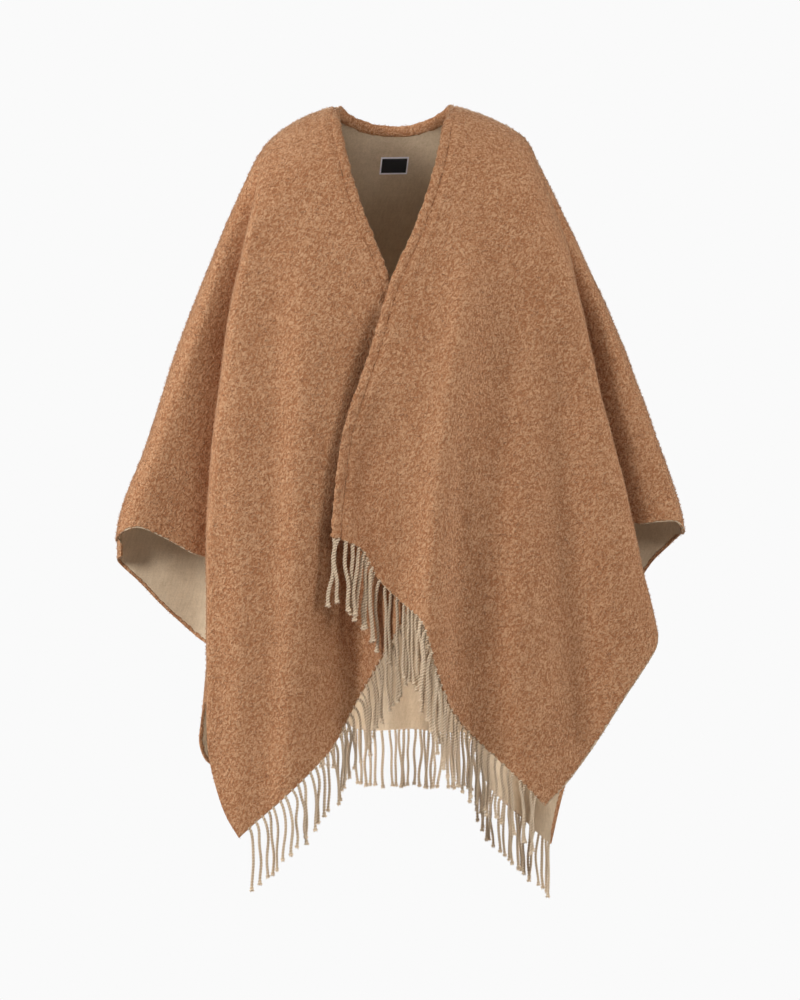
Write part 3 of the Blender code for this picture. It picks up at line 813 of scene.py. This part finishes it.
# Painted shade: the band's side towards the cloth is darkened where it meets the cloth.
to_cloth = ease((-np.cos(spokes) - GROOVE_FROM) / (1 - GROOVE_FROM))
groove = np.outer(ease(-rim[:, 2] / SEAM_FADE), to_cloth).ravel()
neck_band = made_mesh("neck_band_roll", vertices, tube_faces(len(rim), BAND_SIDES), camel,
                      groove=groove, turned=np.zeros(len(groove)))
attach(neck_band, "root")
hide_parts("neck_band")


# -------- fringes
# The warp of the beige face runs out past both hems and is twisted, two yarns to a cord,
# into a fringe. The cords leave the hem square to it, drop, sway and end in a frayed tuft.

CORD_PLY = 0.30             # how far the two plies stand out of a round section
CORD_LAY = 8.4 * MM         # length of one turn of the twist
CORD_RINGS = 80
CORD_SIDES = 8
CORD_ROOT = 2 * MM          # how far a cord reaches into the hem
HEM_STEP = 0.5 * MM
UNDER_BAND = 12 * MM        # the fronts' fringes run on under the end of the neck band
SHORT_OF_CORNER = 14 * MM   # and stop that far from the outer corner
TUFT = 7 * MM
FIBRES = 9
FIBRE_THICK = 0.75 * MM


def twisted_cord(name):
    """Beige worsted with a fine hairy grain and painted shade between the plies. The plies are
    found from a cord's own turn and the place around it."""
    finish = Finish(name, Roughness=0.85, Sheen_Weight=0.25, Sheen_Roughness=0.4,
                    Sheen_Tint=(1.0, 0.95, 0.86, 1), Specular_IOR_Level=0.15)
    twist = finish.attribute("twist")
    lobes = (finish.attribute("ply_x") * twist.maths("COSINE", twist)
             + finish.attribute("ply_y") * twist.maths("SINE", twist))
    # painted shade: darker in the hollows between the two plies
    hollow = -0.1 - lobes * 1.5
    hollow = hollow.maths("MINIMUM", hollow.maths("MAXIMUM", hollow, 0), 1)
    tint = finish.attribute("tint")
    hair = finish.noise(finish.place(), 1400, detail=1)
    tone = 0.84 + tint * 0.2 - hollow * 0.52 + (hair - 0.5) * 0.3
    finish.colour(finish.ramp(tone, (0.1, (0.31, 0.19, 0.11)), (0.55, (0.67, 0.50, 0.335)),
                              (0.95, (0.86, 0.69, 0.505))))
    finish.bump(lobes + hair * 0.7, 0.5 * MM)
    return finish.material


cord_wool = twisted_cord("beige_twisted_cord")


def fringe(name, hem, above, normals, reaches, radii, pitch, turn, seed, short=0.0, first=()):
    """A row of twisted cords along a hem, one to a pitch, which turn to hang over that
    length. reaches and radii, in mm, are set evenly along the hem: the drop from hem to
    tip and the cords' size. The row stops short of the hem's end, and first gives the
    first cords' places on it."""
    draw = np.random.default_rng(seed)
    root, inner, face = resampled(hem, HEM_STEP, above, normals)
    kept = len(root) - int(short / HEM_STEP)
    root, inner, face = root[:kept], inner[:kept], face[:kept]
    placed = np.array(first) * MM / (len(root) * HEM_STEP)
    start = placed[-1] if len(placed) else 0.0
    rest = int((1 - start) * len(root) * HEM_STEP / pitch)
    share = np.concatenate([placed, start + (1 - start) / rest * (
        np.arange(rest) + 0.5 + draw.uniform(-0.16, 0.16, rest))])
    count = len(share)
    at = np.rint(share * (len(root) - 1)).astype(int)
    tangent = unit(np.gradient(softened(root, 12), axis=0))
    outward = across(root - inner, tangent)[at]
    tangent, face = tangent[at], unit(face[at])
    root = root[at] - face * CLOTH / 2
    drop = np.interp(share, np.linspace(0, 1, len(reaches)), reaches) * MM
    drop = drop + draw.uniform(-3, 3, count) * MM

    steep = np.abs(tangent[:, 2])
    level = unit(tangent * (1, 1, 0) + 1e-9)
    s = np.linspace(0, 1, CORD_RINGS)
    step = (drop / (CORD_RINGS - 1))[:, None]
    distance = drop[:, None] * s
    waves = draw.uniform(45, 100, (2, count, 1)) * MM
    phases = draw.uniform(0, 2 * math.pi, (2, count, 1))
    sway = draw.uniform(0.04, 0.17, (2, count, 1)) * np.sin(
        2 * math.pi * distance / waves + phases)
    lean = draw.normal(0, 0.045, (2, count, 1)) * np.ones_like(distance)
    layer = ((np.arange(count) % 3) - 1)[:, None] * np.clip((steep - 0.6) * 2.5, 0, 1)[:, None]
    layered = layer * 0.32 * np.exp(-distance / (14 * MM))
    let_go = np.exp(-distance / turn)[..., None]
    heading = (outward[:, None] * let_go + np.array((0, 0, -1.0)) * (1 - let_go)
               + level[:, None] * (sway[0] + lean[0])[..., None]
               + face[:, None] * (0.7 * (sway[1] + lean[1]) + layered)[..., None])
    heading = unit(heading)
    path = root[:, None] - outward[:, None] * CORD_ROOT + np.concatenate(
        [np.zeros((count, 1, 3)), np.cumsum(heading[:, 1:] * step[..., None], axis=1)], axis=1)

    side = unit(np.cross(heading, (0.0, 1.0, 0.0)))
    front = np.cross(heading, side)
    spokes = np.linspace(0, 2 * math.pi, CORD_SIDES, endpoint=False)
    twist = 2 * math.pi * distance / CORD_LAY + draw.uniform(0, math.pi, (count, 1))
    lobes = np.cos(2 * (spokes - twist[..., None]))
    loosen = ease((distance - drop[:, None] + TUFT) / TUFT)
    radius = np.interp(share, np.linspace(0, 1, len(radii)), radii) * MM
    radius = (radius * draw.uniform(0.92, 1.08, count))[:, None] * (1 + 0.6 * loosen)
    rings = radius[..., None] * (1 + CORD_PLY * lobes)
    points = (path[:, :, None] + side[:, :, None] * (rings * np.cos(spokes))[..., None]
              + front[:, :, None] * (rings * np.sin(spokes))[..., None])
    tint = draw.uniform(-0.3, 0.3, count)

    per_cord = CORD_RINGS * CORD_SIDES
    faces = []
    for n in range(count):
        faces += tube_faces(CORD_RINGS, CORD_SIDES, n * per_cord)
    vertices = points.reshape(-1, 3)
    plies = np.stack([np.cos(2 * spokes), np.sin(2 * spokes)])
    plies = np.tile(plies, count * CORD_RINGS) * np.repeat(1 - 0.7 * loosen, CORD_SIDES)
    tints = np.repeat(tint, per_cord)

    # Frayed fibres: small closed spikes that splay from each tip.
    angle = draw.uniform(0, 2 * math.pi, (count, FIBRES, 1))
    splay = draw.uniform(0.1, 0.55, (count, FIBRES, 1))
    ray = side[:, -1, None] * np.cos(angle) + front[:, -1, None] * np.sin(angle)
    base = path[:, -1, None] - heading[:, -1, None] * 1.5 * MM + ray * 1.5 * MM
    way = unit(heading[:, -1, None] + ray * splay)
    tip = base + way * draw.uniform(2.5, 4.5, (count, FIBRES, 1)) * MM
    ray, ray2 = ray * FIBRE_THICK, unit(np.cross(way, ray)) * FIBRE_THICK
    spikes = np.stack([base + ray, base - ray / 2 + ray2, base - ray / 2 - ray2, tip],
                      axis=2).reshape(-1, 3)
    corner = len(vertices) + np.arange(count * FIBRES)[:, None] * 4
    for corners in ((0, 1, 3), (1, 2, 3), (2, 0, 3), (0, 2, 1)):
        faces += (corner + np.array(corners)).tolist()
    vertices = np.vstack([vertices, spikes])
    plies = np.pad(plies, ((0, 0), (0, len(spikes))))
    turns = np.pad(np.repeat(2 * twist, CORD_SIDES), (0, len(spikes)))
    tints = np.concatenate([tints, np.repeat(tint, FIBRES * 4) + 0.15])
    piece = made_mesh(name, vertices, faces, cord_wool, ply_x=plies[0], ply_y=plies[1],
                      twist=turns, tint=tints)
    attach(piece, "root")
    return piece


def under_band(grid, normals, corner):
    """A front's hem, the row above it and its normals, run on under the neck band."""
    columns = slice(0, hem_columns(corner))
    hem, above, normal = grid[columns, -1], grid[columns, -3], normals[columns, -1]
    ahead = unit(hem[:1] - hem[2:3]) * UNDER_BAND
    return (np.vstack([hem[:1] + ahead, hem]), np.vstack([above[:1] + ahead, above]),
            np.vstack([normal[:1], normal]))


right_fringe = fringe("right_fringe", *under_band(right_grid, right_normals, RIGHT_CORNER),
                      [84, 87, 85, 84, 92], [2.05, 1.9, 1.9], 11.8 * MM, 12 * MM, 11,
                      SHORT_OF_CORNER)
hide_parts("fringe_right")

left_fringe = fringe("left_fringe", *under_band(left_grid, left_normals, LEFT_CORNER),
                     [97, 104, 98, 93, 82], [2.5, 2.25, 2.0, 1.85, 1.85], 11 * MM, 6 * MM, 12,
                     SHORT_OF_CORNER, first=[0.5, 8, 19, 30, 41, 53, 60, 67, 77, 84, 97, 109, 121,
                                             135, 150, 160, 169, 179, 187])
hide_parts("fringe_left")

back_fringe = fringe("back_fringe", back_grid[back_hem, -1], back_grid[back_hem, -3],
                     back_normals[back_hem, -1], [78, 84, 87, 84, 82], [1.95, 1.95], 10.4 * MM,
                     8 * MM, 13)
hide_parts("fringe_back")


# -------- label
# A small woven satin label, black with a pale selvedge, is stitched inside below the back
# neck. It is left bare.

LABEL_WIDTH = 41 * MM
LABEL_HIGH = 24 * MM
LABEL_THICK = 0.8 * MM
LABEL_HEIGHT = -78 * MM
LABEL_BORDER = 2.1 * MM
LABEL_SKEW = -3 * MM        # it is sewn on a little askew
LABEL_GAP = 0.25 * MM


def woven_label(name):
    """Black satin with fine upright ribs and a pale border."""
    finish = Finish(name, Roughness=0.55, Specular_IOR_Level=0.35)
    flat = finish.add("ShaderNodeUVMap", {"uv_map": "UVMap"})
    u = finish.add("ShaderNodeSeparateXYZ", inputs={"Vector": flat})
    v = Value(finish, u.socket.node.outputs["Y"])
    beside = abs(u - 0.5) > 0.5 - LABEL_BORDER / LABEL_WIDTH
    above = abs(v - 0.5) > 0.5 - LABEL_BORDER / LABEL_HIGH
    border = beside.maths("MAXIMUM", beside, above)
    ribs = finish.noise(finish.place(scale=(1, 1, 0.06)), 2600, detail=1)
    black = finish.mix(ribs, (0.006, 0.006, 0.007, 1), (0.022, 0.022, 0.025, 1))
    finish.colour(finish.mix(border, black, (0.95, 0.92, 0.98, 1)))
    finish.bump(ribs + border * 0.8, 0.15 * MM)
    return finish.material


inner_face = BVHTree.FromObject(back, bpy.context.evaluated_depsgraph_get())
bpy.ops.mesh.primitive_grid_add(x_subdivisions=24, y_subdivisions=14, size=1)
label = bpy.context.object
label.name = label.data.name = "bare_label"
for vertex in label.data.vertices:
    x = vertex.co.x * LABEL_WIDTH - vertex.co.y * LABEL_SKEW
    z = LABEL_HEIGHT + vertex.co.y * LABEL_HIGH + vertex.co.x * 0.6 * MM
    hit, normal, _, _ = inner_face.ray_cast(Vector((x, 0, z)), Vector((0, 1, 0)))
    vertex.co = hit + normal * (LABEL_GAP + LABEL_THICK)
if label.data.polygons[0].normal.y > 0:
    label.data.flip_normals()
label.data.materials.append(woven_label("black_woven_label"))
plate = label.modifiers.new("plate", "SOLIDIFY")
plate.thickness = LABEL_THICK
plate.offset = -1
bpy.ops.object.modifier_apply(modifier="plate")
shade(label, 40)
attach(label, "root")
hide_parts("label")


# -------- brushed curls
# The camel face is brushed until loops and fibres stand off it. Each curl is a short fine
# arch with both ends in the cloth; they cover the panels, the rims and the neck band.

CURL_LENGTH = 2.4, 4.4      # least and most, in mm
CURL_HEIGHT = 0.5, 2.0
CURL_THICK = 0.24, 0.46
CURL_ROOT = 0.7 * MM        # its ends reach that far into the cloth


def curl_wool(name):
    """The same camel fibre, each curl a little lighter or darker than the next."""
    finish = Finish(name, Roughness=0.9, Sheen_Weight=0.9, Sheen_Roughness=0.4,
                    Sheen_Tint=(1.0, 0.86, 0.68, 1), Specular_IOR_Level=0.1)
    finish.colour(finish.mix(finish.attribute("tone"), (0.47, 0.232, 0.115, 1),
                             (0.64, 0.375, 0.215, 1)))
    return finish.material


curl_camel = curl_wool("camel_curl")


def curls(name, cloth, count, seed):
    """Closed arches all over a piece's camel cloth, each with both ends in it. They mostly
    lie with the pile, and fewer are in the stitched groove."""
    draw = np.random.default_rng(seed)
    mesh = cloth.data
    mesh.calc_loop_triangles()
    loops = read(mesh.loop_triangles, "vertices", 3, np.int32)
    owner = read(mesh.loop_triangles, "material_index", 1, np.int32)
    grooves = read(mesh.attributes["groove"].data, "value")
    turned = read(mesh.attributes["turned"].data, "value")
    a, b, c = read(mesh.vertices, "co", 3)[loops].transpose(1, 0, 2)
    cross = np.cross(b - a, c - a)
    wrapped = turned[loops].mean(axis=1)
    share = far(cross) * (1 - 0.5 * grooves[loops].max(axis=1))
    share *= np.where(owner == 0, np.clip(1 + 0.6 * wrapped, 0, 1),
                      np.clip(2 * wrapped - 0.6, 0, 1))
    chosen = draw.choice(len(a), count, p=share / share.sum())
    r1, r2 = draw.random((2, count, 1))
    r1 = np.sqrt(r1)
    middle = a[chosen] * (1 - r1) + b[chosen] * r1 * (1 - r2) + c[chosen] * r1 * r2
    normal = unit(cross[chosen])
    lay = np.array((-math.sin(PILE_LEAN), 0, math.cos(PILE_LEAN)))
    way = across(draw.normal(size=(count, 3)) + lay * draw.normal(0, 0.9, (count, 1)), normal)
    bend = np.cross(normal, way)
    length = draw.uniform(*CURL_LENGTH, (count, 1)) * MM
    height = draw.uniform(*CURL_HEIGHT, (count, 1)) * MM
    thick = draw.uniform(*CURL_THICK, (count, 1, 1)) * MM
    hook = draw.uniform(-0.35, 0.35, (2, count, 1)) * length
    ends = [middle - way * length / 2 - normal * CURL_ROOT,
            middle + way * length / 2 - normal * CURL_ROOT + bend * hook[1]]
    knee = middle + way * length * draw.uniform(-0.15, 0.15, (count, 1)) + normal * height
    around = np.array([0, 2, 4]) * math.pi / 3
    ring = (knee + bend * hook[0])[:, None] + thick * (
        normal[:, None] * np.cos(around)[:, None] + bend[:, None] * np.sin(around)[:, None])
    vertices = np.concatenate([ends[0][:, None], ring, ends[1][:, None]], axis=1)
    pattern = np.array([(0, 1, 2), (0, 2, 3), (0, 3, 1), (4, 2, 1), (4, 3, 2), (4, 1, 3)])
    faces = (np.arange(count)[:, None, None] * 5 + pattern).reshape(-1, 3)
    tone = np.repeat(np.clip(draw.normal(0.45, 0.22, count), 0, 1), 5)
    piece = made_mesh(name, vertices.reshape(-1, 3), faces.tolist(), curl_camel, tone=tone)
    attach(piece, "root")
    return piece


right_curls = curls("right_front_curls", right_front, 21000, 21)
left_curls = curls("left_front_curls", left_front, 21000, 22)
back_curls = curls("back_curls", back, 30000, 23)
band_curls = curls("neck_band_curls", neck_band, 4500, 24)


# -------- floor and light
# A plain pale floor at the feet of a standing wearer, fading into an even pale surround.
# Soft studio light: large lights before and beside it, the left ones stronger, weak ones
# overhead, and small ones for the light off the floor and in at neck and hem.

FLOOR_HEIGHT = -1.42
PALE = 0.956                # how bright floor and surround look
AMBIENT = 0.045             # how much light the surround gives
FLOOR_GLOW = 0.15           # and the floor
bpy.ops.mesh.primitive_circle_add(vertices=96, radius=60, fill_type="NGON")
floor = bpy.context.object
floor.name = floor.data.name = "floor"
for vertex in floor.data.vertices:
    vertex.co.z = FLOOR_HEIGHT
floor_finish = Finish("pale_floor", Base_Color=(0.88, 0.88, 0.88, 1), Roughness=0.9,
                      Specular_IOR_Level=0.1)
reach = floor_finish.add("ShaderNodeVectorMath", {"operation": "LENGTH"}, {
    0: floor_finish.place(scale=(1, 1, 0))}, output="Value")
fade = floor_finish.step(reach, 0.25, 0.75)
seen = floor_finish.add("ShaderNodeLightPath", output="Is Camera Ray")
glow = floor_finish.add("ShaderNodeEmission", inputs={
    "Strength": seen * (PALE - FLOOR_GLOW) + FLOOR_GLOW})
blend = floor_finish.add("ShaderNodeMixShader", inputs={
    0: fade, 1: floor_finish.shader.outputs[0], 2: glow})
floor_finish.tree.links.new(blend.socket,
                            floor_finish.tree.nodes["Material Output"].inputs["Surface"])
floor.data.materials.append(floor_finish.material)

world = bpy.data.worlds.new("pale_surround")
world.use_nodes = True
bpy.context.scene.world = world
nodes, links = world.node_tree.nodes, world.node_tree.links
surround = nodes["Background"]
surround.inputs["Color"].default_value = (1, 1, 1, 1)
seen = nodes.new("ShaderNodeLightPath")
level = nodes.new("ShaderNodeMapRange")
level.inputs["To Min"].default_value = AMBIENT
level.inputs["To Max"].default_value = PALE
links.new(seen.outputs["Is Camera Ray"], level.inputs["Value"])
links.new(level.outputs["Result"], surround.inputs["Strength"])


def softbox(name, place, target, width, height, power, spread=180):
    """A large soft area light aimed at a point."""
    bpy.ops.object.light_add(type="AREA", location=place)
    light = bpy.context.object
    light.name = name
    light.data.shape = "RECTANGLE"
    light.data.size, light.data.size_y = width, height
    light.data.energy = power
    light.data.spread = math.radians(spread)
    light.rotation_mode = "QUATERNION"
    light.rotation_quaternion = (Vector(target) - Vector(place)).to_track_quat("-Z", "Y")
    light.visible_camera = False


softbox("left_light", (-3.2, -2.85, 0.8), (0, 0, -0.55), 1.3, 1.5, 124)
softbox("far_left_light", (-4.4, 0.3, 0.15), (0, 0, -0.55), 1.2, 1.6, 112)
softbox("right_light", (3.5, -2.7, 0.4), (0, 0, -0.55), 1.5, 1.9, 56)
softbox("far_right_light", (4.2, 0.6, -0.2), (0, 0, -0.6), 1.0, 1.4, 62)
softbox("high_right_light", (2.2, -1.6, 2.0), (0, 0, -0.3), 1.2, 1.2, 26)
softbox("top_light", (-0.3, -0.2, 2.4), (0, 0, -0.3), 2.0, 1.4, 6)
softbox("low_light", (0, -1.9, -1.25), (0, 0.1, -0.85), 1.5, 0.5, 2.8)
softbox("neck_light", (0, -0.03, -0.02), (0, 0.09, -0.06), 0.10, 0.02, 0.006, spread=70)
softbox("hem_light", (0.02, -0.05, -1.05), (0, 0.13, -0.82), 0.34, 0.1, 0.22, spread=90)


# -------- camera
# A long lens at mid height, straight on.

bpy.ops.object.camera_add(location=(0.0087, -4.5, -0.5713), rotation=(math.radians(90), 0, 0))
camera = bpy.context.object
camera.data.lens = 111.7
camera.data.clip_end = 200
bpy.context.scene.camera = camera
bpy.context.scene.view_settings.view_transform = "Standard"
